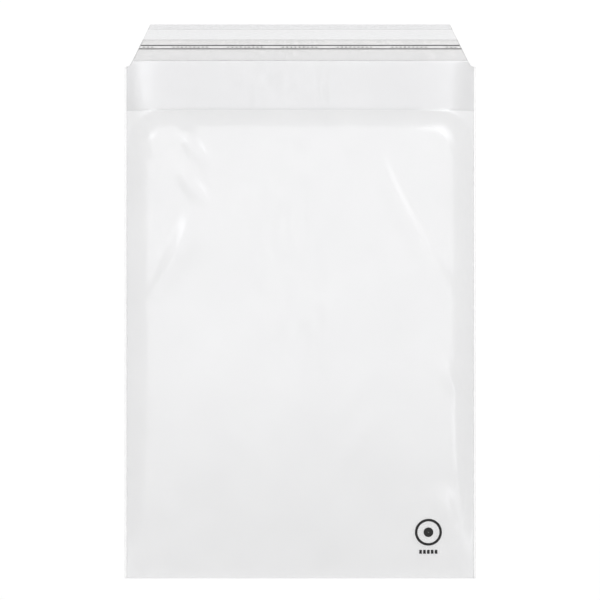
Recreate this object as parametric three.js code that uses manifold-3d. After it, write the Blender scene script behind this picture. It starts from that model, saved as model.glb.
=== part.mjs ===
// Clear self-seal bag, lying on its back as an empty bag does, in millimetres.
// X runs across the bag, Y from the bottom fold to the flap's tip, and Z up from the surface it lies on.
// One web of clear film is folded at the bottom, hemmed inside the mouth and turned over at the flap's tip.
// Its two sides are heat welded. The flap carries a strip of adhesive under a peel-off liner.
import * as THREE from "three";
import { mergeVertices } from "three/addons/utils/BufferGeometryUtils.js";
import Module from "manifold-3d";

const wasm = await Module();
wasm.setup();

// Driving dimensions
const film = 0.1; // gauge of the film
const bagWidth = 240;
const pocketLength = 350; // bottom fold to the shoulders of the die cut
const lipLength = 3.5; // shoulders to the edge of the mouth
const flapLength = 25.3; // edge of the mouth to the flap's tip
const flapTipWidth = 205;
const shoulderWidth = 3.3; // ledge that the die cut leaves on each side of the flap
const shoulderRound = 2.4; // length of the curve from the ledge into the flap's side
const hemDepth = 33.8; // film turned inside the mouth
const tipHem = 3.7; // film turned over at the flap's tip
const plyGap = 0.05; // air left between plies that are pressed together
const weldWidth = 1.8;
const weldBead = 0.1; // how far the bead stands out from the plies it joins
const mouthGape = 8; // how far the mouth stands open in the middle
const archPower = 4; // shape of the open mouth's arch, where 2 is a parabola and more is flatter on top
const puff = 4; // further rise of the pocket, from the air left in it
const puffSide = 14; // width of the puffed pocket's rounded border along the welds
const puffTop = 18; // and its width below the hem
const footLength = 140; // stretch over which the front rises from the bottom fold
const adhesive = 0.1; // thickness of the adhesive strip
const adhesiveWidth = 8;
const liner = 0.1; // thickness of the release liner
const linerWidth = 14.8;
const linerInset = 0.3; // from the mouth's edge to the liner
const adhesiveInset = 0.4; // from the liner's upper edge to the adhesive, which leaves a tab to peel below it

// Creases that the trapped air leaves in the front. Each point is a distance in from the side of the bag
// and a distance below the mouth's edge.
const creases = [
  { side: -1, from: [46, 49], bend: [51, 58], to: [60, 70], height: 1, reach: 7 },
  { side: -1, from: [44, 72], bend: [50, 86], to: [63, 100], height: 1.1, reach: 7 },
  { side: -1, from: [49, 108], bend: [39, 129], to: [23, 155], height: 1.5, reach: 11 },
  { side: 1, from: [67, 58], bend: [52, 103], to: [16, 155], height: 1.3, reach: 9 },
  { side: 1, from: [26, 207], bend: [22, 215], to: [13, 222], height: 0.9, reach: 7 },
  { side: 1, from: [21, 293], bend: [18, 302], to: [16, 314], height: 0.8, reach: 9 },
];

// Places worked out from them
const halfWidth = bagWidth / 2;
const mouthY = pocketLength + lipLength;
const hemY = mouthY - hemDepth;
const tipY = mouthY + flapLength;
const plyStep = film + plyGap;
const backZ = film / 2;
const frontZ = backZ + 2 * plyStep; // the front's middle where it is welded
const weldInner = halfWidth - weldWidth;
const weldHeight = frontZ + film / 2 + weldBead;

// Steps of the web's mesh
const panelColumns = 36;
const foldRows = 4;
const panelRows = 46;
const hemRows = 5;

// 0 at the foot of a rounded border and 1 from its full width on.
function border(distance, width) {
  const share = THREE.MathUtils.clamp(distance / width, 0, 1);
  return Math.sin((share * Math.PI) / 2);
}

// The line that a crease's ridge follows.
function ridgeOf({ side, from, bend, to }) {
  const place = ([inward, below]) => new THREE.Vector2(side * (halfWidth - inward), mouthY - below);
  return new THREE.QuadraticBezierCurve(place(from), place(bend), place(to));
}

const ridges = creases.map((crease) => ({ ...crease, points: ridgeOf(crease).getPoints(16) }));

// How far a crease lifts the film at a place. It fades towards its sides and both its ends.
function creaseRise({ points, height, reach }, x, y) {
  const here = new THREE.Vector2(x, y);
  const distances = points.map((point) => point.distanceTo(here));
  const nearest = Math.min(...distances);
  const along = distances.indexOf(nearest) / (points.length - 1);
  const across = Math.max(0, 1 - (nearest / reach) ** 2);
  return height * across ** 2 * Math.sin(Math.PI * (0.1 + 0.8 * along));
}

// How far the front stands above its place at the welds.
function rise(x, y) {
  const fromWeld = weldInner - Math.abs(x);
  if (fromWeld <= 0) return 0;
  const foot = border(y, footLength);
  const gape = mouthGape * (1 - Math.abs(x / weldInner) ** archPower) * foot;
  const nearWeld = border(fromWeld, puffSide);
  const pocket = puff * nearWeld * border(hemY - y, puffTop) * foot;
  const folds = ridges.reduce((sum, ridge) => sum + creaseRise(ridge, x, y), 0);
  return gape + pocket + folds * nearWeld;
}

// A half turn of the web from one height to another. A turn to +Y has direction 1, and t runs from 0 to 1.
function halfTurn(y, fromHeight, toHeight, direction, t) {
  const radius = (toHeight - fromHeight) / 2;
  const reach = direction * Math.abs(radius) * Math.sin(Math.PI * t);
  return [y + reach, fromHeight + radius * (1 - Math.cos(Math.PI * t))];
}

// The axes of the three folds. Each fold's outermost point lies on the edge that it makes, at the bottom
// inside the ends of the beads.
const tipFoldY = tipY - plyStep / 2 - film / 2;
const mouthFoldY = mouthY - plyStep / 2 - film / 2;
const bottomFoldY = plyStep + film / 2 + weldBead;

const between = (from, to, t) => from + (to - from) * t;
const frontAt = (x, y) => [y, frontZ + rise(x, y)];
const hemAt = (x, y) => [y, frontZ + rise(x, y) - plyStep];

// The web's path, from its end on the flap's tip to its end inside the mouth. Each stretch gives Y and Z.
const stretches = [
  { rows: 1, at: (x, t) => [between(tipY - tipHem, tipFoldY, t), backZ + plyStep] },
  { rows: foldRows, at: (x, t) => halfTurn(tipFoldY, backZ + plyStep, backZ, 1, t) },
  { rows: 1, at: (x, t) => [between(tipFoldY, bottomFoldY, t), backZ] },
  { rows: foldRows, at: (x, t) => halfTurn(bottomFoldY, backZ, frontZ, -1, t) },
  { rows: panelRows, at: (x, t) => frontAt(x, between(bottomFoldY, hemY, t)) },
  { rows: hemRows, at: (x, t) => frontAt(x, between(hemY, mouthFoldY, t)) },
  {
    rows: foldRows,
    at: (x, t) => {
      const [y, height] = frontAt(x, mouthFoldY);
      return halfTurn(y, height, height - plyStep, 1, t);
    },
  },
  { rows: hemRows, at: (x, t) => hemAt(x, between(mouthFoldY, hemY, t)) },
];
const webRows = stretches.reduce((sum, stretch) => sum + stretch.rows, 0);

// The middle of the web at a place across it and a row counted along it.
function webPoint(x, row) {
  let left = THREE.MathUtils.clamp(row, 0, webRows);
  for (const { rows, at } of stretches) {
    if (left <= rows) return new THREE.Vector3(x, ...at(x, left / rows));
    left -= rows;
  }
}

// The direction through the web's thickness.
function webNormal(x, row) {
  const step = 0.01;
  const across = webPoint(x + step, row).sub(webPoint(x - step, row));
  const along = webPoint(x, row + step).sub(webPoint(x, row - step));
  return across.cross(along).normalize();
}

// The place of a column. The first and last two lie inside the welds, and the rest close up towards them.
function columnX(column) {
  const last = panelColumns + 2;
  if (column === 0 || column === last) return Math.sign(column - 1) * (halfWidth - weldWidth / 2);
  const share = (2 * (column - 1)) / panelColumns - 1;
  const widest = 0.4 * Math.PI;
  return ((weldInner + weldWidth / 6) * Math.sin(share * widest)) / Math.sin(widest);
}

// Coordinates on one fine grid keep faces that lie in one plane exactly level.
const snap = (value) => Math.round(value * 1e4) / 1e4;

// A manifold solid of a closed three.js geometry.
function solidOf(geometry) {
  const bare = new THREE.BufferGeometry();
  bare.setAttribute("position", geometry.getAttribute("position"));
  bare.setIndex(geometry.getIndex());
  const merged = mergeVertices(bare, 1e-5);
  const mesh = new wasm.Mesh({
    numProp: 3,
    vertProperties: merged.getAttribute("position").array,
    triVerts: new Uint32Array(merged.getIndex().array),
  });
  return new wasm.Manifold(mesh);
}

// A three.js geometry of a manifold solid.
function geometryOf(solid) {
  const mesh = solid.getMesh();
  const geometry = new THREE.BufferGeometry();
  geometry.setAttribute("position", new THREE.BufferAttribute(new Float32Array(mesh.vertProperties), 3));
  geometry.setIndex(new THREE.BufferAttribute(new Uint32Array(mesh.triVerts), 1));
  geometry.computeVertexNormals();
  return geometry;
}

// A closed box between two corners.
function boxBetween([x0, y0, z0], [x1, y1, z1]) {
  const box = new THREE.BoxGeometry(x1 - x0, y1 - y0, z1 - z0);
  box.translate((x0 + x1) / 2, (y0 + y1) / 2, (z0 + z1) / 2);
  return solidOf(box);
}

// Turns the diagonals of a flat box's underside, so that both faces of the film bend along the same lines.
function matchDiagonals(box) {
  const index = box.getIndex();
  const underside = box.groups[5];
  for (let i = underside.start; i < underside.start + underside.count; i += 6) {
    const [a, b, d, , c] = index.array.slice(i, i + 6);
    index.array.set([a, b, c, a, c, d], i);
  }
}

// The film as a flat sheet that is bent along the web's path.
function foldedWeb() {
  const columns = panelColumns + 2;
  const sheet = new THREE.BoxGeometry(columns, webRows, film, columns, webRows, 1);
  matchDiagonals(sheet);
  const place = sheet.getAttribute("position");
  for (let i = 0; i < place.count; i++) {
    const x = columnX(Math.round(place.getX(i) + columns / 2));
    const row = Math.round(place.getY(i) + webRows / 2);
    const point = webPoint(x, row).addScaledVector(webNormal(x, row), place.getZ(i));
    place.setXYZ(i, snap(point.x), snap(point.y), snap(point.z));
  }
  return solidOf(sheet);
}

// The bead along one side, where the hot knife has melted the plies together.
function sideWeld(side) {
  const edges = [side * weldInner, side * halfWidth].sort((a, b) => a - b);
  return boxBetween([edges[0], 0, 0], [edges[1], mouthY, weldHeight]);
}

// What the die leaves: the pocket's full width up to the shoulders, then the tapered flap.
function dieOutline() {
  const margin = 5;
  const outer = halfWidth + margin;
  const cornerX = halfWidth - shoulderWidth;
  const slope = (cornerX - flapTipWidth / 2) / (tipY - pocketLength);
  const topX = flapTipWidth / 2 - slope * margin;
  const sideLength = Math.hypot(1, slope);
  const roundX = cornerX - (slope * shoulderRound) / sideLength;
  const roundY = pocketLength + shoulderRound / sideLength;
  const shape = new THREE.Shape();
  shape.moveTo(-outer, -margin);
  shape.lineTo(outer, -margin);
  shape.lineTo(outer, pocketLength);
  shape.lineTo(cornerX + shoulderRound, pocketLength);
  shape.quadraticCurveTo(cornerX, pocketLength, roundX, roundY);
  shape.lineTo(topX, tipY + margin);
  shape.lineTo(-topX, tipY + margin);
  shape.lineTo(-roundX, roundY);
  shape.quadraticCurveTo(-cornerX, pocketLength, -cornerX - shoulderRound, pocketLength);
  shape.lineTo(-outer, pocketLength);
  return shape;
}

// A solid trimmed by the die, which cuts every ply in one stroke.
function dieCut(solid) {
  const stroke = mouthGape + puff + 40;
  const die = new THREE.ExtrudeGeometry(dieOutline(), { depth: stroke, bevelEnabled: false, curveSegments: 5 });
  die.translate(0, 0, -stroke / 2);
  return solid.intersect(solidOf(die));
}

// A strip that lies across the flap, before the die trims its ends.
function flapStrip(lowY, width, lowZ, thickness) {
  return boxBetween([-halfWidth, lowY, lowZ], [halfWidth, lowY + width, lowZ + thickness]);
}

function bagFilm() {
  const web = foldedWeb();
  return dieCut(web.add(sideWeld(-1)).add(sideWeld(1)));
}

const linerY = mouthY + linerInset;
const adhesiveY = linerY + linerWidth - adhesiveInset - adhesiveWidth;

function adhesiveStrip() {
  return dieCut(flapStrip(adhesiveY, adhesiveWidth, film, adhesive));
}

function releaseLiner() {
  return dieCut(flapStrip(linerY, linerWidth, film + adhesive, liner));
}

const clearFilm = new THREE.MeshStandardMaterial({
  color: 0xf1f1f3,
  roughness: 0.18,
  metalness: 0,
  transparent: true,
  opacity: 0.35,
});
const clearAdhesive = new THREE.MeshStandardMaterial({
  color: 0xe6e2da,
  roughness: 0.45,
  metalness: 0,
  transparent: true,
  opacity: 0.5,
});
const linerFilm = new THREE.MeshStandardMaterial({
  color: 0xe3e0e0,
  roughness: 0.35,
  metalness: 0,
  transparent: true,
  opacity: 0.6,
});

function piece(name, solid, material) {
  const mesh = new THREE.Mesh(geometryOf(solid), material);
  mesh.name = name;
  return mesh;
}

const bag = new THREE.Group();
bag.add(piece("bag_film", bagFilm(), clearFilm));
bag.add(piece("adhesive_strip", adhesiveStrip(), clearAdhesive));
bag.add(piece("release_liner", releaseLiner(), linerFilm));
bag.position.y = -tipY / 2;

export default bag;
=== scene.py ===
"""Clear self-seal bag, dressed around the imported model: film with creases, adhesive, liner and print."""

import math

import bmesh
import bpy
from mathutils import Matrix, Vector, noise


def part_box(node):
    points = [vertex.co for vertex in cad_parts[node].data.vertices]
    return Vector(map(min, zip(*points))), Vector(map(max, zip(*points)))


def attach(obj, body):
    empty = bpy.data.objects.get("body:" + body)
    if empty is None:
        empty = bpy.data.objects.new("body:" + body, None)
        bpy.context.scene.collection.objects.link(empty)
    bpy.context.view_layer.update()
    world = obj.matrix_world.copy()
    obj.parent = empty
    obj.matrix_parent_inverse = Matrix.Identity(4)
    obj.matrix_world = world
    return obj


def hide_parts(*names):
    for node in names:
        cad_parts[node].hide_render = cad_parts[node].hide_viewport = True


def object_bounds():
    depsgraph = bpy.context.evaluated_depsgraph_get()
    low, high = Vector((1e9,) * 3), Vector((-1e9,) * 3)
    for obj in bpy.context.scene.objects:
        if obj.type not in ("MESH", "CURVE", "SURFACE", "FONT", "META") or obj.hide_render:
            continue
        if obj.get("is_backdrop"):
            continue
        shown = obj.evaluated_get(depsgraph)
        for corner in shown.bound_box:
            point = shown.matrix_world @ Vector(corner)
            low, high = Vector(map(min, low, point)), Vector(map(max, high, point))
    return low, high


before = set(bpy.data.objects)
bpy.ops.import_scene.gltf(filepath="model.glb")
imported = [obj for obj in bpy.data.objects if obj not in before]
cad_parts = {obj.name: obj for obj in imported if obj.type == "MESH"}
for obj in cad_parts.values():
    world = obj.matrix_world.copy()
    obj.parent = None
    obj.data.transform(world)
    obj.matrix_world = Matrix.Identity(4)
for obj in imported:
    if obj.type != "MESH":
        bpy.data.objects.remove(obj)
cad_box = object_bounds()

bl_info = {
    "name": "Clear Self-Seal Bag",
    "version": (1, 0, 0),
    "blender": (4, 5, 0),
    "location": "View3D > Sidebar > Bag",
    "description": "Models a clear film bag with an adhesive flap on the table that it lies on",
    "category": "Object",
}

MM = 0.001
FILM_NODE = "bag_film"
LINER_NODE = "release_liner"
ADHESIVE_NODE = "adhesive_strip"
BODY = "root"

film_low, film_high = (Vector(corner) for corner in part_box(FILM_NODE))
liner_low, liner_high = (Vector(corner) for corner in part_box(LINER_NODE))
adhesive_low, adhesive_high = (Vector(corner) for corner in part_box(ADHESIVE_NODE))

# The bag's own measures in millimetres, with Y counted from the bottom fold as the maker does
HALF_WIDTH = film_high.x / MM
BOTTOM_Y = film_low.y / MM
TIP_Y = (film_high.y - film_low.y) / MM
FLAP_LENGTH = 25.3
MOUTH_Y = TIP_Y - FLAP_LENGTH
LIP_LENGTH = 3.5
SHOULDER_Y = MOUTH_Y - LIP_LENGTH
HEM_DEPTH = 33.8
HEM_Y = MOUTH_Y - HEM_DEPTH
TIP_HEM = 3.7
TIP_LOOP = 0.35
FLAP_TIP_WIDTH = 205.0
SHOULDER_WIDTH = 3.3
SHOULDER_ROUND = 2.4
WELD_WIDTH = 1.8
WELD_INNER = HALF_WIDTH - WELD_WIDTH
WEB_EDGE = WELD_INNER + 0.35
PLY_GAP = 0.05
WELD_TOP = 0.5

# The shoulder's corner before it is rounded, how fast the flap narrows and how high the rounding reaches
SHOULDER_CORNER = HALF_WIDTH - SHOULDER_WIDTH
TAPER = (SHOULDER_CORNER - FLAP_TIP_WIDTH / 2) / (TIP_Y - SHOULDER_Y)
ROUND_HEIGHT = SHOULDER_ROUND / math.hypot(1, TAPER)

# The hem turned over the flap's tip: distances below the tip, and how far the film stands off there
TIP_HEM_ROWS = (TIP_HEM, 0.18), (TIP_HEM - 0.7, 0.0), (1.7, 0.0), (1.0, 0.16)

# The front's arch between the welds, and the length over which it rises from the bottom fold
MOUTH_GAPE = 8.0
ARCH_POWER = 4
FOOT_LENGTH = 140.0

# The pocket's puff below the hem: its height, the widths of its rounded borders at the sides and at the
# top, and the radius of its upper corners as a share of those widths
PUFF = 4.0
PUFF_SIDE = 14.0
PUFF_TOP = 18.0
PUFF_CORNER = 1.6

# How far the weld's inner edge wanders, and the share by which its height varies
WELD_WANDER = 0.1
WELD_UNEVEN = 0.07

# The film's unevenness: lengths of its broad waves and of the slack beside the welds, across and up, the
# share of that slack that the panel lacks, the mean as a multiple of the waviness, and the length over
# which it grows from the bottom fold
BROAD_WAVE = 34.0, 48.0
SLACK_WAVE = 9.0, 26.0
SLACK_LOST = 0.85
UNEVEN_MEAN = 1.4
UNEVEN_FOOT = 30.0

# The strip of adhesive and the liner over it, with Y counted in the same way
LINER_Y = liner_low.y / MM - BOTTOM_Y, liner_high.y / MM - BOTTOM_Y
LINER_Z = liner_low.z / MM, liner_high.z / MM
ADHESIVE_Y = adhesive_low.y / MM - BOTTOM_Y, adhesive_high.y / MM - BOTTOM_Y
ADHESIVE_Z = adhesive_low.z / MM, adhesive_high.z / MM

# How far the liner's loose lower edge stands off the flap, how much that varies and over what length
LINER_LIFT = 0.14
LIFT_VARIES = 0.12
LIFT_WAVE = 22.0

# The liner's print: the lower line below the liner's upper edge, and groups of dashes along the middle.
# The dashes end at a margin from where the die trims the liner at a little above their middle.
LINE_BELOW_EDGE = 6.5
LINE_MARGIN = 0.25
DASH_MARGIN = 0.6
DASH_TRIM = 0.4
DASH_LENGTH = 1.3
DASH_WIDTH = 0.52
DASH_STEP = 2.85
DASHES = 9
GROUPS_ACROSS = range(-4, 4)
FIRST_GROUP_X = 25.0

# The printed mark: its middle, the dot's radius and the width of its line as shares of the ring's radius,
# and the bars below them
MARK_PLACE = 87.5, 32.0
DOT_RADIUS = 0.36
DOT_WIDTH = 0.34
BARS = 5
BAR_WIDTH = 1.8
BAR_STEP = 2.65
BARS_START = 6.2
BAR_TOP = 2.9
BAR_FOOT = 5.6

# How far the ink's upper face stands over what carries it, and how thick the ink is
INK_TOP = 0.02
INK_DEPTH = 0.01

# The weld bead's section: shares of its width, from inside out, and of its height
WELD_SECTION = (0.0, 0.0), (0.0, 0.55), (0.16, 0.84), (0.42, 1.0), (0.78, 0.95), (1.0, 0.62), (1.0, 0.0)

# Shares of light that some places scatter besides the rest: the flap, which is made darker, its tip's hem,
# which is clearer, the bands along the welds, which are painted shade, the liner's fine lines and the part
# of the liner that isn't stuck down, which is painted shadow
FLAP_DARKENING = 0.068
TIP_HEM_LOSS = 0.036
BAND_PAINTED_SHADE = 0.004
LINE_HAZE = 0.04
LOOSE_PAINTED_SHADE = 0.035

# In metres, how far the floor reaches and how far it lies under the bag, and the camera's place over it
FLOOR_REACH = 3.0
FLOOR_DROP = 0.0002
CAMERA_PLACE = -0.0001, 0.001

# How many clear faces a ray may pass
CLEAR_FACES = 40

# Steps of the meshes
COLUMNS = 148
FOLD_ROWS = 6
PANEL_ROWS = 176
BACK_ROWS = 48
HEM_ROWS = 12
SHOULDER_ROWS = 4
WELD_ROWS = 150
ADHESIVE_STEPS = 90, 6
LINER_STEPS = 120, 12
LINE_STEPS = 96, 1

# Creases that the trapped air leaves in the front. Each point is a distance in from the side of the bag
# and a distance below the mouth's edge, in millimetres. The slope of the flanks, as a rise over a run,
# and the reach of the crease to each side are given at both ends.
CREASES = (
    {"side": -1, "path": ((44, 51), (49, 60), (58, 72)), "slope": (0.34, 0.32), "reach": (8, 7)},
    {"side": -1, "path": ((42, 74), (48, 88), (61, 102)), "slope": (0.34, 0.32), "reach": (8, 7)},
    {"side": -1, "path": ((49, 108), (39, 129), (23, 155)), "slope": (0.27, 0.2), "reach": (13, 7)},
    {"side": 1, "path": ((71, 54), (56, 103), (18, 157)), "slope": (0.27, 0.16), "reach": (7, 9)},
    {"side": 1, "path": ((22, 208), (18, 217), (10, 228)), "slope": (0.3, 0.26), "reach": (7, 6)},
    {"side": 1, "path": ((24, 294), (21, 306), (17, 318)), "slope": (0.26, 0.22), "reach": (8, 7)},
    {"side": 1, "path": ((24, 50), (20, 57), (15, 66)), "slope": (0.14, 0.1), "reach": (5, 4)},
    {"side": 1, "path": ((13, 272), (11, 280), (9, 289)), "slope": (0.14, 0.1), "reach": (5, 4)},
    {"side": 1, "path": ((110, 66), (109, 78), (109, 90)), "slope": (0.12, 0.1), "reach": (4, 3)},
    {"side": 1, "path": ((84, 69), (83, 74), (81, 79)), "slope": (0.12, 0.1), "reach": (4, 3)},
    {"side": -1, "path": ((20, 50), (19, 58), (22, 68)), "slope": (0.14, 0.1), "reach": (5, 4)},
    {"side": -1, "path": ((10, 163), (12, 167), (16, 171)), "slope": (0.12, 0.1), "reach": (5, 4)},
    {"side": -1, "path": ((78, 252), (80, 264), (85, 275)), "slope": (0.1, 0.09), "reach": (6, 5)},
    {"side": 1, "path": ((76, 211), (82, 226), (94, 241)), "slope": (0.11, 0.1), "reach": (7, 6)},
    {"side": 1, "path": ((74, 244), (79, 257), (88, 271)), "slope": (0.12, 0.11), "reach": (7, 6)},
    {"side": -1, "path": ((29, 299), (32, 311), (33, 324)), "slope": (0.14, 0.12), "reach": (6, 5)},
    {"side": -1, "path": ((95, 66), (103, 75), (111, 85)), "slope": (0.08, 0.07), "reach": (7, 6)},
    {"side": -1, "path": ((63, 118), (55, 130), (46, 142)), "slope": (0.1, 0.1), "reach": (6, 6)},
    {"side": 1, "path": ((38, 165), (42, 175), (46, 186)), "slope": (0.1, 0.1), "reach": (6, 6)},
)

# The steepest slope of a crease's section, where its height and reach are 1
STEEPEST = 1.54

# Creases lean: the flank towards the mouth is steeper than the one towards the bottom fold
EVEN_REACH = 1.25
LEAN = 0.45

# A crease keeps some height at its ends, and is full over most of its length
CREASE_ENDS = 0.08
CREASE_FULLNESS = 0.7


class FilmSettings(bpy.types.PropertyGroup):
    """Sizes and colours of the bag's film."""

    gauge: bpy.props.FloatProperty(
        name="Gauge",
        description="Thickness of the film",
        default=0.0001,
        unit="LENGTH",
        precision=5,
    )
    colour: bpy.props.FloatVectorProperty(
        name="Colour",
        description="Colour of the film's faint haze",
        default=(0.56, 0.56, 0.58),
        subtype="COLOR",
    )
    haze: bpy.props.FloatProperty(
        name="Haze",
        description="Share of light that one face scatters back",
        default=0.038,
        subtype="FACTOR",
    )
    weld_haze: bpy.props.FloatProperty(
        name="Weld haze",
        description="Share of light that one face of a weld scatters back",
        default=0.09,
        subtype="FACTOR",
    )
    ripple: bpy.props.FloatProperty(
        name="Ripple",
        description="Strength of the film's fine ripples",
        default=0.12,
        subtype="FACTOR",
    )
    waviness: bpy.props.FloatProperty(
        name="Waviness",
        description="Height of the film's broad unevenness",
        default=0.0003,
        unit="LENGTH",
        precision=5,
    )


class LinerSettings(bpy.types.PropertyGroup):
    """Colours of the adhesive and of the liner over it."""

    liner_colour: bpy.props.FloatVectorProperty(
        name="Liner",
        description="Colour of the release liner",
        default=(0.64, 0.63, 0.63),
        subtype="COLOR",
    )
    adhesive_colour: bpy.props.FloatVectorProperty(
        name="Adhesive",
        description="Colour of the adhesive",
        default=(0.7, 0.66, 0.6),
        subtype="COLOR",
    )
    liner_haze: bpy.props.FloatProperty(
        name="Liner haze",
        description="Share of light that one face of the liner scatters back",
        default=0.026,
        subtype="FACTOR",
    )
    adhesive_haze: bpy.props.FloatProperty(
        name="Adhesive haze",
        description="Share of light that one face of the glue scatters back",
        default=0.005,
        subtype="FACTOR",
    )
    line_width: bpy.props.FloatProperty(
        name="Line width",
        description="Width of the lines printed on the liner",
        default=0.00062,
        unit="LENGTH",
        precision=5,
    )
    line_step: bpy.props.FloatProperty(
        name="Line step",
        description="Distance between those two lines",
        default=0.0024,
        unit="LENGTH",
        precision=5,
    )
    group_step: bpy.props.FloatProperty(
        name="Group step",
        description="Distance from one group of dashes to the next",
        default=0.0374,
        unit="LENGTH", precision=4,
    )


class PrintSettings(bpy.types.PropertyGroup):
    """Sizes and colour of the plain mark near the bottom corner."""

    ink: bpy.props.FloatVectorProperty(
        name="Ink",
        description="Colour of the print",
        default=(0.012, 0.012, 0.012),
        subtype="COLOR",
    )
    mark_size: bpy.props.FloatProperty(
        name="Mark size", description="Width of the mark", default=0.0185, unit="LENGTH"
    )
    stroke: bpy.props.FloatProperty(
        name="Stroke",
        description="Width of the mark's lines",
        default=0.00175,
        unit="LENGTH",
        precision=5,
    )


class StageSettings(bpy.types.PropertyGroup):
    """The floor, the lamps and the camera."""

    camera_height: bpy.props.FloatProperty(
        name="Camera height",
        description="Height of the camera over the floor",
        default=1.6,
        unit="LENGTH",
    )
    field: bpy.props.FloatProperty(
        name="Field",
        description="Width of what the camera sees on the floor",
        default=0.4103,
        unit="LENGTH",
    )
    ambient: bpy.props.FloatProperty(name="Ambient", description="Brightness of the room", default=0.25)
    floor_tone: bpy.props.FloatProperty(name="Floor", description="Tone of the white floor", default=0.34)
    glow: bpy.props.FloatProperty(
        name="Glow", description="Brightness that the lit white floor shows by itself", default=0.76
    )


def length_in_mm(metres):
    return metres / MM


def border(distance, width):
    """0 at the foot of a rounded border and 1 from its full width on."""
    share = min(max(distance / width, 0.0), 1.0)
    return math.sin(share * math.pi / 2)


def puffed(from_weld, from_hem):
    """How much of its full puff the pocket has at a place, from 0 to 1, with its upper corners rounded."""
    side = from_weld / PUFF_SIDE
    top = from_hem / PUFF_TOP
    inside = min(side, top)
    if max(side, top) < PUFF_CORNER:
        inside = PUFF_CORNER - math.hypot(PUFF_CORNER - side, PUFF_CORNER - top)
    return border(inside, 1.0)


def curve_point(path, t):
    """A point of the quadratic curve through a crease's start, bend and end."""
    start, bend, end = path
    return [(1 - t) ** 2 * a + 2 * t * (1 - t) * b + t * t * c for a, b, c in zip(start, bend, end)]


def ridge_points(crease, count=14):
    """Points along a crease's ridge, in the bag's millimetres."""
    points = [curve_point(crease["path"], i / count) for i in range(count + 1)]
    return [(crease["side"] * (HALF_WIDTH - inward), MOUTH_Y - below) for inward, below in points]


def between(start, end, share):
    return start + (end - start) * share


class Ridge:
    """One crease, with the box that it stays inside."""

    def __init__(self, crease):
        self.points = ridge_points(crease)
        self.slope = crease["slope"]
        self.reach = crease["reach"]
        widest = max(self.reach) * (EVEN_REACH + LEAN)
        across, up = zip(*self.points)
        self.low = min(across) - widest, min(up) - widest
        self.high = max(across) + widest, max(up) + widest

    def nearest(self, x, y):
        """The distance to the ridge, how far along it its nearest point lies, from 0 to 1, and how much
        the place lies on the ridge's side towards the mouth, from -1 to 1."""
        best = math.inf, 0.0, 0.0
        for i, ((x0, y0), (x1, y1)) in enumerate(zip(self.points, self.points[1:])):
            run, climb = x1 - x0, y1 - y0
            share = ((x - x0) * run + (y - y0) * climb) / (run * run + climb * climb)
            share = min(max(share, 0.0), 1.0)
            up = y - y0 - share * climb
            distance = math.hypot(x0 + share * run - x, up)
            along = (i + share) / (len(self.points) - 1)
            best = min(best, (distance, along, up / max(distance, 0.001)))
        return best

    def rise(self, x, y):
        """How far the crease lifts the film at a place. It fades towards its sides and both its ends."""
        if not (self.low[0] < x < self.high[0] and self.low[1] < y < self.high[1]):
            return 0.0
        nearest, along, side = self.nearest(x, y)
        reach = between(*self.reach, along)
        height = between(*self.slope, along) * reach / STEEPEST
        across = max(0.0, 1 - (nearest / (reach * (EVEN_REACH - LEAN * side))) ** 2)
        lengthwise = math.sin(math.pi * between(CREASE_ENDS, 1 - CREASE_ENDS, along))
        return height * across**2 * lengthwise**CREASE_FULLNESS


RIDGES = [Ridge(crease) for crease in CREASES]


def waves(x, y, lengths, seed):
    """Soft unevenness, from about -1 to 1, with the given lengths across and up."""
    return noise.noise(Vector((x / lengths[0], y / lengths[1], seed)))


def rise(x, y, waviness):
    """How far the front stands above its place at the welds, in millimetres."""
    from_weld = WELD_INNER - abs(x)
    if from_weld <= 0:
        return 0.0
    foot = border(y, FOOT_LENGTH)
    edge = border(from_weld, PUFF_SIDE)
    gape = MOUTH_GAPE * (1 - abs(x / WELD_INNER) ** ARCH_POWER) * foot
    pocket = PUFF * puffed(from_weld, HEM_Y - y) * foot
    folds = sum(ridge.rise(x, y) for ridge in RIDGES)
    broad = waves(x, y, BROAD_WAVE, 3.7)
    slack = waves(x, y, SLACK_WAVE, 8.1) * (1 - edge * SLACK_LOST)
    uneven = waviness * (UNEVEN_MEAN + broad + slack) * border(y, UNEVEN_FOOT)
    return gape + pocket + (folds + uneven) * edge


def half_width_at(y):
    """Half the film's width at a height: the die's taper past the shoulders, the welds below them."""
    past = y - SHOULDER_Y
    if past <= 0:
        return WEB_EDGE
    if past >= ROUND_HEIGHT:
        return SHOULDER_CORNER - TAPER * past
    t = math.sqrt(past / ROUND_HEIGHT)
    round_end = SHOULDER_CORNER - TAPER * ROUND_HEIGHT
    return (1 - t) ** 2 * WEB_EDGE + 2 * t * (1 - t) * SHOULDER_CORNER + t * t * round_end


def shoulder_heights():
    """Heights of the rows that follow the die's curve at the shoulder, from low to high."""
    return [SHOULDER_Y + ROUND_HEIGHT * (i / SHOULDER_ROWS) ** 2 for i in range(SHOULDER_ROWS + 1)]


def spread(start, end, count):
    """Evenly spaced values, the first included and the last left out."""
    return [start + (end - start) * i / count for i in range(count)]


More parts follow.
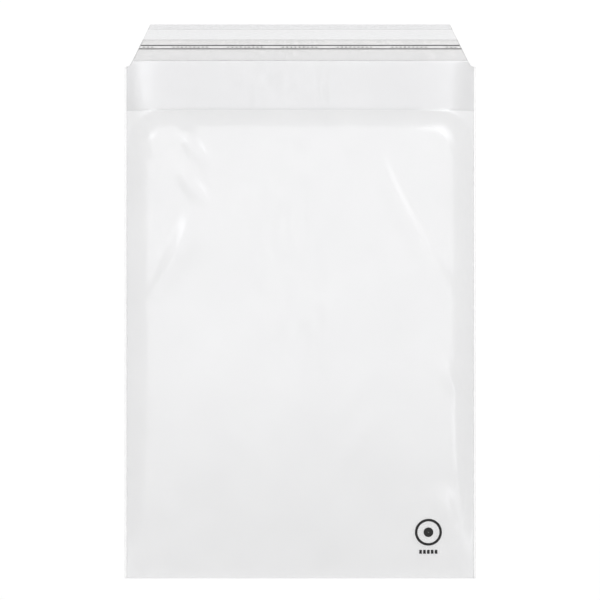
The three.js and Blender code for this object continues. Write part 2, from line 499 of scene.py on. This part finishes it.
def film_rows(gauge, waviness):
    """The film's outer face as rows, from its end on the flap's tip to its end inside the mouth.
    Each row is the height Y that sets its width, and a function that gives Y and Z at a place across."""
    step = gauge + PLY_GAP
    back = gauge / 2
    front = back + 2 * step
    half = gauge / 2
    rows = []

    def flat(y, height, facing):
        rows.append((y, lambda x: (y, height + facing * half)))

    def over_front(y, drop, facing):
        rows.append((y, lambda x: (y, front - drop + rise(x, y, waviness) + facing * half)))

    def turn(y, start, end, direction, base):
        radius = abs(end - start) / 2
        middle = (start + end) / 2
        sign = 1 if start > end else -1
        for i in range(1, FOLD_ROWS):
            angle = math.pi * i / FOLD_ROWS
            reach = direction * (radius + half) * math.sin(angle)
            height = middle + sign * (radius + half) * math.cos(angle)
            rows.append((y, lambda x, reach=reach, height=height: (y + reach, base(x) + height)))

    tip_fold = TIP_Y - TIP_LOOP / 2 - half
    mouth_fold = MOUTH_Y - step / 2 - half
    bottom_fold = step + gauge
    shoulders = shoulder_heights()

    for below_tip, stand_off in TIP_HEM_ROWS:
        flat(TIP_Y - below_tip, back + step + stand_off, 1)
    flat(tip_fold, back + TIP_LOOP, 1)
    turn(tip_fold, back + TIP_LOOP, back, 1, lambda x: 0.0)
    flat(tip_fold, back, -1)
    for y in reversed(shoulders):
        flat(y, back, -1)
    for y in spread(SHOULDER_Y, bottom_fold, BACK_ROWS)[1:]:
        flat(y, back, -1)
    flat(bottom_fold, back, -1)
    turn(bottom_fold, back, front, -1, lambda x: 0.0)
    for y in spread(bottom_fold, HEM_Y, PANEL_ROWS) + spread(HEM_Y, SHOULDER_Y, HEM_ROWS):
        over_front(y, 0, 1)
    for y in shoulders:
        over_front(y, 0, 1)
    over_front(mouth_fold, 0, 1)
    turn(mouth_fold, front, front - step, 1, lambda x: rise(x, mouth_fold, waviness))
    over_front(mouth_fold, step, -1)
    for y in reversed(shoulders):
        over_front(y, step, -1)
    for y in spread(SHOULDER_Y, HEM_Y, HEM_ROWS)[1:] + [HEM_Y]:
        over_front(y, step, -1)
    return rows


def place(x, y, z):
    """A point of the bag in the shared frame, in metres."""
    return Vector((x * MM, (y + BOTTOM_Y) * MM, z * MM))


def column_share(share):
    """Where a column stands, from -1 to 1, with the last pair inside the weld."""
    inner = 1 - 0.5 / (COLUMNS / 2)
    if abs(share) > inner:
        return math.copysign(1, share)
    return share / inner * (WELD_INNER + WELD_WIDTH / 6) / WEB_EDGE


def film_mesh(bm, gauge, waviness):
    """The web as a grid that is laid along its rows and then given its thickness."""
    rows = film_rows(gauge, waviness)
    count = len(rows) - 1
    made = bmesh.ops.create_grid(bm, x_segments=COLUMNS, y_segments=count, size=0.5)
    for vertex in made["verts"]:
        share = column_share(2 * vertex.co.x)
        width_y, at = rows[round((vertex.co.y + 0.5) * count)]
        x = share * half_width_at(width_y)
        y, z = at(x)
        vertex.co = place(x, y, z)
    bm.normal_update()
    bmesh.ops.solidify(bm, geom=bm.faces[:], thickness=gauge * MM)


def front_top(x, y, settings):
    """Height of the front's upper face, in millimetres."""
    gauge = length_in_mm(settings.gauge)
    return gauge + 2 * (gauge + PLY_GAP) + rise(x, y, length_in_mm(settings.waviness))


def liner_lift(x, y):
    """How far the liner's loose lower edge stands off the flap, in millimetres."""
    loose = max(0.0, (ADHESIVE_Y[0] - y) / (ADHESIVE_Y[0] - LINER_Y[0]))
    return loose * (LINER_LIFT + LIFT_VARIES * noise.noise(Vector((x / LIFT_WAVE, 4.2, 1.3))))


def patch(bm, across, up, spot, steps):
    """A patch between two places across and two up, whose corners spot(x, y) gives in metres."""
    columns, rows = steps
    grid = []
    for j in range(rows + 1):
        y = up[0] + (up[1] - up[0]) * j / rows
        low, high = across(y) if callable(across) else across
        places = [low + (high - low) * i / columns for i in range(columns + 1)]
        grid.append([bm.verts.new(spot(x, y)) for x in places])
    for below, above in zip(grid, grid[1:]):
        for i in range(columns):
            bm.faces.new((below[i], below[i + 1], above[i + 1], above[i]))


def thicken(bm, thickness):
    """Gives a patch its thickness, downwards from its upper face."""
    bm.normal_update()
    bmesh.ops.solidify(bm, geom=bm.faces[:], thickness=thickness * MM)


def strip_mesh(bm, up, heights, lift, steps):
    """A strip across the flap, trimmed by the die at its ends."""

    def across(y):
        return -half_width_at(y), half_width_at(y)

    patch(bm, across, up, lambda x, y: place(x, y, heights[1] + lift(x, y)), steps)
    thicken(bm, heights[1] - heights[0])


def liner_print_mesh(bm, settings):
    """Two lines along the liner with groups of short dashes between them."""
    top = LINER_Z[1] + INK_TOP
    width = length_in_mm(settings.line_width)
    low_line = LINER_Y[1] - LINE_BELOW_EDGE
    high_line = low_line + length_in_mm(settings.line_step)

    def spot(x, y):
        return place(x, y, top + liner_lift(x, y))

    for middle in (low_line, high_line):
        end = half_width_at(middle + width / 2) - LINE_MARGIN
        patch(bm, (-end, end), (middle - width / 2, middle + width / 2), spot, LINE_STEPS)
    middle = (low_line + high_line) / 2
    end = half_width_at(middle + DASH_TRIM) - DASH_MARGIN
    up = middle - DASH_WIDTH / 2, middle + DASH_WIDTH / 2
    step = length_in_mm(settings.group_step)
    for group in GROUPS_ACROSS:
        for dash in range(DASHES):
            x = FIRST_GROUP_X + group * step + dash * DASH_STEP
            if max(abs(x), abs(x + DASH_LENGTH)) < end:
                patch(bm, (x, x + DASH_LENGTH), up, spot, (1, 1))
    thicken(bm, INK_DEPTH)


def ring_mesh(bm, centre, radius, width, spot, steps=72):
    """A flat ring, or a disc where its width is its radius."""
    turns = [2 * math.pi * i / steps for i in range(steps)]

    def circle(distance):
        across = [centre[0] + distance * math.cos(angle) for angle in turns]
        up = [centre[1] + distance * math.sin(angle) for angle in turns]
        return [bm.verts.new(spot(x, y)) for x, y in zip(across, up)]

    inner = circle(radius - width)
    outer = circle(radius)
    for i in range(steps):
        following = (i + 1) % steps
        bm.faces.new((inner[i], outer[i], outer[following], inner[following]))


def mark_mesh(bm, print_settings, film_settings):
    """A plain ring round a dot over a row of short bars."""
    radius = length_in_mm(print_settings.mark_size) / 2
    stroke = length_in_mm(print_settings.stroke)
    x, y = MARK_PLACE

    def spot(px, py):
        return place(px, py, front_top(px, py, film_settings) + INK_TOP)

    ring_mesh(bm, (x, y), radius, stroke, spot)
    ring_mesh(bm, (x, y), radius * DOT_RADIUS, radius * DOT_WIDTH, spot, 40)
    foot = y - radius
    for i in range(BARS):
        left = x - BARS_START + i * BAR_STEP
        patch(bm, (left, left + BAR_WIDTH), (foot - BAR_FOOT, foot - BAR_TOP), spot, (1, 2))
    thicken(bm, INK_DEPTH)


def weld_mesh(bm, side):
    """The bead along one side: a low rounded bar whose top is slightly uneven."""
    rows = []
    for j in range(WELD_ROWS + 1):
        y = SHOULDER_Y * j / WELD_ROWS
        at_end = j in (0, WELD_ROWS)
        inward = 0.0 if at_end else WELD_WANDER * (1 + noise.noise(Vector((y / 5, side * 3.1, 0.4))))
        top = WELD_TOP * (1 - WELD_UNEVEN + WELD_UNEVEN * noise.noise(Vector((y / 3, side * 7.7, 2.6))))
        ring = []
        for share, height in WELD_SECTION:
            x = HALF_WIDTH - (WELD_WIDTH - inward) * (1 - share)
            ring.append(bm.verts.new(place(side * x, y, top * height)))
        rows.append(ring)
    count = len(WELD_SECTION)
    for below, above in zip(rows, rows[1:]):
        for i in range(count):
            following = (i + 1) % count
            bm.faces.new((below[i], below[following], above[following], above[i]))
    bm.faces.new(rows[0])
    bm.faces.new(rows[-1])
    bmesh.ops.recalc_face_normals(bm, faces=bm.faces[:])


def finished(bm, name, material, smooth=True):
    """Makes a bmesh a piece of the bag that rides on its body."""
    mesh = bpy.data.meshes.new(name)
    bm.to_mesh(mesh)
    bm.free()
    mesh.materials.append(material)
    if smooth:
        mesh.polygons.foreach_set("use_smooth", [True] * len(mesh.polygons))
    piece = bpy.data.objects.new(name, mesh)
    bpy.context.scene.collection.objects.link(piece)
    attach(piece, BODY)
    return piece


class Wire:
    """A socket of a node tree, with arithmetic that adds Math nodes."""

    def __init__(self, nodes, socket):
        self.nodes = nodes
        self.socket = socket

    def math(self, operation, *others, swap=False):
        values = [self, *others]
        if swap:
            values.reverse()
        node = self.nodes.add("ShaderNodeMath", {"operation": operation}, dict(enumerate(values)))
        return Wire(self.nodes, node.outputs[0])

    def __add__(self, other):
        return self.math("ADD", other)

    def __sub__(self, other):
        return self.math("SUBTRACT", other)

    def __rsub__(self, other):
        return self.math("SUBTRACT", other, swap=True)

    def __mul__(self, other):
        return self.math("MULTIPLY", other)

    def __truediv__(self, other):
        return self.math("DIVIDE", other)

    def __pow__(self, other):
        return self.math("POWER", other)

    def clamped(self):
        return self.math("MINIMUM", 1.0).math("MAXIMUM", 0.0)


class Nodes:
    """The nodes of one material or world."""

    def __init__(self, owner):
        owner.use_nodes = True
        self.tree = owner.node_tree
        self.tree.nodes.clear()

    def add(self, kind, settings=None, sockets=None):
        """Adds a node, sets its settings first and then its sockets' values or links."""
        node = self.tree.nodes.new(kind)
        for name, value in (settings or {}).items():
            setattr(node, name, value)
        for key, value in (sockets or {}).items():
            socket = node.inputs[key]
            if isinstance(value, Wire):
                self.tree.links.new(value.socket, socket)
            elif isinstance(value, bpy.types.NodeSocket):
                self.tree.links.new(value, socket)
            else:
                socket.default_value = value
        return node

    def wire(self, kind, output, settings=None, sockets=None):
        """Adds a node and gives one of its outputs."""
        return Wire(self, self.add(kind, settings, sockets).outputs[output])

    def places(self):
        return self.wire("ShaderNodeTexCoord", "Object")

    def finish(self, socket, kind="ShaderNodeOutputMaterial"):
        self.add(kind, None, {"Surface": socket})


def rgba(colour):
    return (*colour, 1.0)


def see_through(name, colour, scattered, roughness, mirror=0.04, bump=None):
    """A thin clear face: it mirrors a little, more at a slant, scatters a share, and lets the rest through.
    The scattered share, the roughness and the bump are functions of the material's nodes."""
    material = bpy.data.materials.new(name)
    nodes = Nodes(material)
    facing = nodes.wire("ShaderNodeLayerWeight", "Facing", None, {"Blend": 0.5})
    mirrored = facing**5.0 * (1 - mirror) + mirror
    shown = (mirrored + scattered(nodes)).clamped()
    sockets = {
        "Base Color": rgba(colour),
        "Metallic": mirrored / shown,
        "Roughness": roughness(nodes),
        "Alpha": shown,
    }
    if bump:
        sockets["Normal"] = bump(nodes)
    shader = nodes.add("ShaderNodeBsdfPrincipled", None, sockets)
    nodes.finish(shader.outputs[0])
    return material


def cloud(nodes, scale, stretch=(1, 1, 1), detail=2.0):
    """A soft noise over the piece's own places, about 0.5 on average."""
    stretched = {"Vector": nodes.places(), "Scale": stretch}
    places = nodes.wire("ShaderNodeMapping", "Vector", None, stretched)
    sockets = {"Vector": places, "Scale": scale, "Detail": detail}
    return nodes.wire("ShaderNodeTexNoise", "Fac", None, sockets)


def ramp(nodes, value, low, high):
    """0 below a low value and 1 above a high one, with a smooth step between them."""
    return nodes.wire(
        "ShaderNodeMapRange",
        "Result",
        {"interpolation_type": "SMOOTHSTEP"},
        {"Value": value, "From Min": low, "From Max": high},
    )


def axis(nodes, name):
    return nodes.wire("ShaderNodeSeparateXYZ", name, None, {"Vector": nodes.places()})


def relief(height, distance):
    """A bump of a height that a function of the nodes gives, at a distance in metres."""

    def bump(nodes):
        sockets = {"Height": height(nodes), "Distance": distance, "Strength": 1.0}
        return nodes.wire("ShaderNodeBump", "Normal", None, sockets)

    return bump


def film_material(settings):
    """Clear film whose haze is uneven and stronger on the flap, with painted shade in a band along the
    welds.
    """
    flap_start = (MOUTH_Y + BOTTOM_Y) * MM
    hem_start = (TIP_Y - TIP_HEM + BOTTOM_Y) * MM
    band_start = (WELD_INNER - PUFF_SIDE) * MM

    def scattered(nodes):
        uneven = cloud(nodes, 22.0) * 0.5 + 0.75
        height = axis(nodes, "Y")
        # The flap is made darker by a larger share of scatter
        flap = ramp(nodes, height, flap_start, flap_start + 0.0008) * FLAP_DARKENING
        hem = ramp(nodes, height, hem_start - 0.0006, hem_start) * TIP_HEM_LOSS
        side = axis(nodes, "X").math("ABSOLUTE")
        # Painted shade: more scatter darkens the film in a band along each weld
        band = ramp(nodes, side, band_start - 0.004, WELD_INNER * MM) * BAND_PAINTED_SHADE
        return uneven * settings.haze + flap - hem + band

    return see_through(
        "clear_film",
        settings.colour,
        scattered,
        lambda nodes: cloud(nodes, 60.0) * 0.1 + 0.15,
        bump=relief(lambda nodes: cloud(nodes, 46.0, (1.0, 0.55, 1.0), 3.0), settings.ripple * MM),
    )


def weld_material(settings):
    """The melted bead: whiter than the film, with short streaks across it."""
    return see_through(
        "weld_bead",
        (0.95, 0.95, 0.96),
        lambda nodes: (cloud(nodes, 260.0, (0.3, 1.0, 1.0)) + 0.5) * settings.weld_haze,
        lambda nodes: cloud(nodes, 300.0) * 0.2 + 0.22,
        bump=relief(lambda nodes: cloud(nodes, 420.0, (0.3, 1.0, 1.0)), 0.00008),
    )


def liner_material(settings):
    """Thin release film, satin, with faint lines along it, and painted shadow where it stands off the
    adhesive.
    """
    loose_end = (ADHESIVE_Y[0] + BOTTOM_Y) * MM

    def scattered(nodes):
        lines = cloud(nodes, 90.0, (0.08, 1.0, 1.0)) * LINE_HAZE
        stuck = ramp(nodes, axis(nodes, "Y"), loose_end - 0.0006, loose_end + 0.0002)
        # Painted shadow: more scatter darkens the part of the liner that stands off the adhesive
        return lines + (1.0 - stuck) * LOOSE_PAINTED_SHADE + settings.liner_haze

    return see_through(
        "release_film",
        settings.liner_colour,
        scattered,
        lambda nodes: cloud(nodes, 140.0) * 0.16 + 0.22,
        bump=relief(lambda nodes: cloud(nodes, 160.0, (0.15, 1.0, 1.0), 3.0), 0.00005),
    )


def adhesive_material(settings):
    """Clear glue with small uneven beads."""
    return see_through(
        "adhesive",
        settings.adhesive_colour,
        lambda nodes: cloud(nodes, 620.0, (0.6, 1.0, 1.0)) * 0.035 + settings.adhesive_haze,
        lambda nodes: cloud(nodes, 500.0) * 0.25 + 0.25,
        bump=relief(lambda nodes: cloud(nodes, 700.0, (0.6, 1.0, 1.0)), 0.0001),
    )


def ink_material(settings):
    material = bpy.data.materials.new("ink")
    nodes = Nodes(material)
    grain = nodes.wire("ShaderNodeTexNoise", "Fac", None, {"Vector": nodes.places(), "Scale": 900.0})
    shader = nodes.add(
        "ShaderNodeBsdfPrincipled",
        None,
        {"Base Color": rgba(settings.ink), "Roughness": grain * 0.2 + 0.35},
    )
    nodes.finish(shader.outputs[0])
    return material


class BAG_OT_film(bpy.types.Operator):
    """Model the folded film with its welds"""

    bl_idname = "bag.film"
    bl_label = "Film"

    def execute(self, context):
        settings = context.scene.bag_film
        bm = bmesh.new()
        film_mesh(bm, length_in_mm(settings.gauge), length_in_mm(settings.waviness))
        web = finished(bm, "film_web", film_material(settings))
        bead = weld_material(settings)
        welds = []
        for side, name in ((-1, "weld_left"), (1, "weld_right")):
            bm = bmesh.new()
            weld_mesh(bm, side)
            welds.append(finished(bm, name, bead))
        for piece in (web, *welds):
            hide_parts(FILM_NODE)
        return {"FINISHED"}


class BAG_OT_liner(bpy.types.Operator):
    """Model the adhesive strip, its release liner and the liner's print"""

    bl_idname = "bag.liner"
    bl_label = "Adhesive and liner"

    def execute(self, context):
        settings = context.scene.bag_liner
        bm = bmesh.new()
        strip_mesh(bm, ADHESIVE_Y, ADHESIVE_Z, lambda x, y: 0.0, ADHESIVE_STEPS)
        glue = finished(bm, "adhesive", adhesive_material(settings))
        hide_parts(ADHESIVE_NODE)
        bm = bmesh.new()
        strip_mesh(bm, LINER_Y, LINER_Z, liner_lift, LINER_STEPS)
        liner = finished(bm, "liner", liner_material(settings))
        bm = bmesh.new()
        liner_print_mesh(bm, settings)
        printed = finished(bm, "liner_print", ink_material(context.scene.bag_print), smooth=False)
        for piece in (liner, printed):
            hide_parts(LINER_NODE)
        ends = [2 * half_width_at(y) * MM for y in LINER_Y]
        depth = (LINER_Y[1] - LINER_Y[0]) * MM
        area = sum(ends) / 2 * depth
        return {"FINISHED"}


class BAG_OT_mark(bpy.types.Operator):
    """Print the plain mark near the bottom corner"""

    bl_idname = "bag.mark"
    bl_label = "Mark"

    def execute(self, context):
        bm = bmesh.new()
        mark_mesh(bm, context.scene.bag_print, context.scene.bag_film)
        mark = finished(bm, "mark", ink_material(context.scene.bag_print), smooth=False)
        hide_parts(FILM_NODE)
        return {"FINISHED"}


class BAG_OT_stage(bpy.types.Operator):
    """Set up the floor, the lamps, the room and the camera"""

    bl_idname = "bag.stage"
    bl_label = "Stage"

    def execute(self, context):
        settings = context.scene.bag_stage
        make_floor(settings)
        make_room(settings)
        make_lamps()
        make_camera(settings)
        return {"FINISHED"}


def backdrop_rays(nodes):
    """1 for the rays that should see the bare white backdrop."""
    path = nodes.add("ShaderNodeLightPath")
    seen = Wire(nodes, path.outputs["Is Camera Ray"])
    for name in ("Is Glossy Ray", "Is Transmission Ray"):
        seen = seen.math("MAXIMUM", Wire(nodes, path.outputs[name]))
    return seen


def make_floor(settings):
    bm = bmesh.new()
    bmesh.ops.create_grid(bm, x_segments=2, y_segments=2, size=FLOOR_REACH)
    bmesh.ops.translate(bm, verts=bm.verts[:], vec=(0, 0, -FLOOR_DROP))
    mesh = bpy.data.meshes.new("floor")
    bm.to_mesh(mesh)
    bm.free()
    material = bpy.data.materials.new("floor")
    nodes = Nodes(material)
    diffuse = nodes.add("ShaderNodeBsdfDiffuse", None, {"Color": rgba([settings.floor_tone] * 3)})
    glow = nodes.add("ShaderNodeEmission", None, {"Strength": backdrop_rays(nodes) * settings.glow})
    both = nodes.add("ShaderNodeAddShader", None, {0: diffuse.outputs[0], 1: glow.outputs[0]})
    nodes.finish(both.outputs[0])
    mesh.materials.append(material)
    floor = bpy.data.objects.new("floor", mesh)
    bpy.context.scene.collection.objects.link(floor)
    floor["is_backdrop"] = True


def make_room(settings):
    world = bpy.data.worlds.new("room")
    bpy.context.scene.world = world
    nodes = Nodes(world)
    path = nodes.add("ShaderNodeLightPath")
    seen = Wire(nodes, path.outputs["Is Camera Ray"])
    strength = seen * (1 - settings.ambient) + settings.ambient
    background = nodes.add("ShaderNodeBackground", None, {"Color": (1, 1, 1, 1), "Strength": strength})
    nodes.finish(background.outputs[0], "ShaderNodeOutputWorld")


def add_softbox(name, position, target, size, radiance):
    """A rectangular lamp of an even brightness. Its power is pi times its area times that brightness."""
    lamp = bpy.data.lights.new(name, "AREA")
    lamp.shape = "RECTANGLE"
    lamp.size, lamp.size_y = size
    lamp.energy = math.pi * size[0] * size[1] * radiance
    holder = bpy.data.objects.new(name, lamp)
    holder.location = position
    holder.rotation_euler = (Vector(target) - Vector(position)).to_track_quat("-Z", "Y").to_euler()
    bpy.context.scene.collection.objects.link(holder)


def make_lamps():
    """Wide softboxes overhead, and small lamps that the creases mirror."""
    add_softbox("overhead", (0, 0.53, 2.2), (0, 0.53, 0), (2.5, 1.36), 1.7)
    add_softbox("overhead_mid", (0, -0.3, 2.2), (0, -0.3, 0), (2.5, 0.3), 1.15)
    add_softbox("overhead_low", (0, -0.6, 2.2), (0, -0.6, 0), (2.5, 0.3), 0.65)
    add_softbox("right_lamp", (1.4, 0.75, 2.15), (0, 0, 0), (0.5, 0.55), 4.6)
    add_softbox("left_lamp", (-1.38, 0.68, 2.15), (0, 0, 0), (0.5, 0.55), 5.6)
    add_softbox("head_lamp", (1.02, 1.0, 2.15), (0, 0, 0), (0.55, 0.55), 5.4)
    add_softbox("lower_lamp", (1.2, -0.42, 2.05), (0, 0, 0), (0.4, 0.26), 3.6)


def make_camera(settings):
    camera = bpy.data.cameras.new("camera")
    camera.sensor_width = 36.0
    camera.lens = camera.sensor_width * settings.camera_height / settings.field
    holder = bpy.data.objects.new("camera", camera)
    holder.location = (*CAMERA_PLACE, settings.camera_height)
    bpy.context.scene.collection.objects.link(holder)
    bpy.context.scene.camera = holder
    bpy.context.scene.view_settings.view_transform = "Standard"
    bpy.context.scene.cycles.transparent_max_bounces = CLEAR_FACES


class BAG_PT_panel(bpy.types.Panel):
    """Lists the bag's settings and its pieces"""

    bl_label = "Self-Seal Bag"
    bl_space_type = "VIEW_3D"
    bl_region_type = "UI"
    bl_category = "Bag"

    def draw(self, context):
        layout = self.layout
        for name in GROUPS:
            settings = getattr(context.scene, name)
            box = layout.box()
            for key in settings.bl_rna.properties.keys():
                if key not in ("rna_type", "name"):
                    box.prop(settings, key)
        for operator in STEPS:
            layout.operator(operator.bl_idname)


GROUPS = {
    "bag_film": FilmSettings,
    "bag_liner": LinerSettings,
    "bag_print": PrintSettings,
    "bag_stage": StageSettings,
}
STEPS = (BAG_OT_film, BAG_OT_liner, BAG_OT_mark, BAG_OT_stage)


def register():
    for group in GROUPS.values():
        bpy.utils.register_class(group)
    for operator in (*STEPS, BAG_PT_panel):
        bpy.utils.register_class(operator)
    for name, group in GROUPS.items():
        setattr(bpy.types.Scene, name, bpy.props.PointerProperty(type=group))


def unregister():
    for name in GROUPS:
        delattr(bpy.types.Scene, name)
    for one in (BAG_PT_panel, *reversed(STEPS), *reversed(GROUPS.values())):
        bpy.utils.unregister_class(one)


def main():
    register()
    bpy.ops.bag.film()
    bpy.ops.bag.liner()
    bpy.ops.bag.mark()
    bpy.ops.bag.stage()
    boxes = {"cad": cad_box, "visual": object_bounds()}
    {name: [list(corner) for corner in box] for name, box in boxes.items()}


if __name__ == "__main__":
    main()
